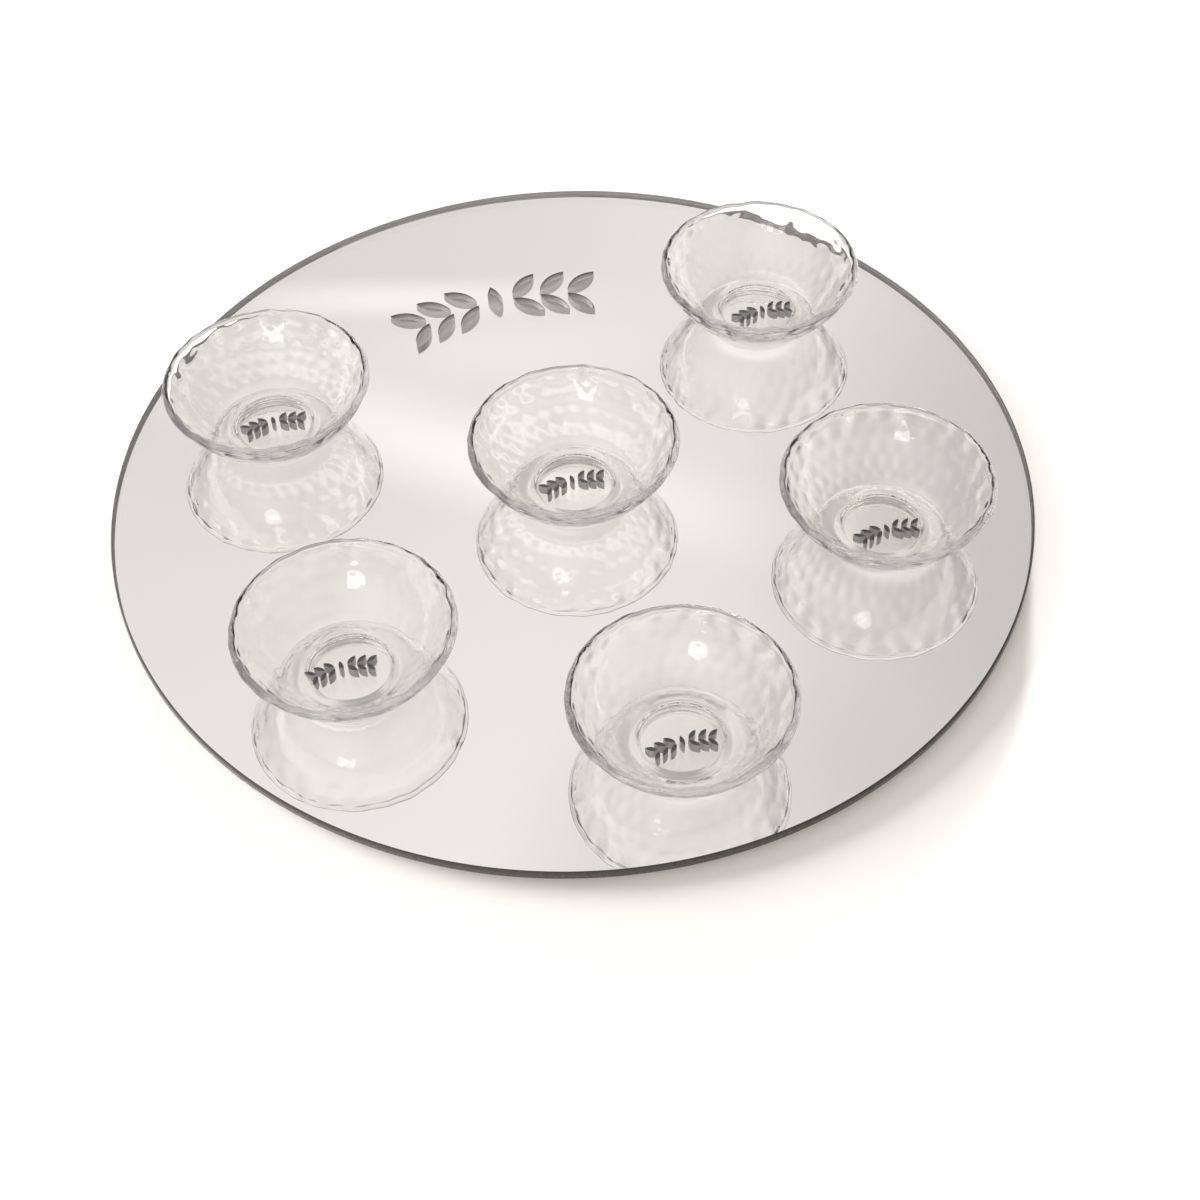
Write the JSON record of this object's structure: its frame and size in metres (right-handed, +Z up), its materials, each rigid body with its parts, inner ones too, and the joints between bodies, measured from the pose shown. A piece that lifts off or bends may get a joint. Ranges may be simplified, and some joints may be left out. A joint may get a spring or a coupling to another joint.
{
  "type": "seder plate",
  "caption": "Round acrylic mirror plate pierced with leaf sprigs, on low rubber feet, with loose hammered-glass bowls in a ring and at the middle for a ritual meal's foods.",
  "frame": {"origin": "middle of the plate, on the surface that its feet stand on", "axes": "+Z up; -Y is the front, where the lettuce bowl stands; +Y is the back, the place with the large pierced sprig and no bowl; +X is to the right seen from the front"},
  "size_m": [0.3999, 0.4, 0.038],
  "materials": {
    "plate_glass": "polished clear acrylic",
    "silver": "silvered back",
    "paint": "grey backing paint",
    "bumper": "satin translucent rubber",
    "bowl_glass": "clear hammered glass"
  },
  "bodies": {
    "plate": {"mirror_glass": "plate_glass", "silver_coating": "silver", "back_paint": "paint", "foot_1": "bumper", "foot_2": "bumper", "foot_3": "bumper", "foot_4": "bumper", "foot_5": "bumper", "foot_6": "bumper"},
    "egg": {"egg_bowl": "bowl_glass"},
    "shank_bone": {"shank_bone_bowl": "bowl_glass"},
    "bitter_herb": {"bitter_herb_bowl": "bowl_glass"},
    "fruit_paste": {"fruit_paste_bowl": "bowl_glass"},
    "greens": {"greens_bowl": "bowl_glass"},
    "lettuce": {"lettuce_bowl": "bowl_glass"}
  },
  "joints": [
    {"name": "egg_lift", "type": "slide", "parent": "plate", "child": "egg", "axis": [0, 0, 1], "range_m": [0, 0.08]},
    {"name": "shank_bone_lift", "type": "slide", "parent": "plate", "child": "shank_bone", "axis": [0, 0, 1], "range_m": [0, 0.08]},
    {"name": "bitter_herb_lift", "type": "slide", "parent": "plate", "child": "bitter_herb", "axis": [0, 0, 1], "range_m": [0, 0.08]},
    {"name": "fruit_paste_lift", "type": "slide", "parent": "plate", "child": "fruit_paste", "axis": [0, 0, 1], "range_m": [0, 0.08]},
    {"name": "greens_lift", "type": "slide", "parent": "plate", "child": "greens", "axis": [0, 0, 1], "range_m": [0, 0.08]},
    {"name": "lettuce_lift", "type": "slide", "parent": "plate", "child": "lettuce", "axis": [0, 0, 1], "range_m": [0, 0.08]}
  ]
}
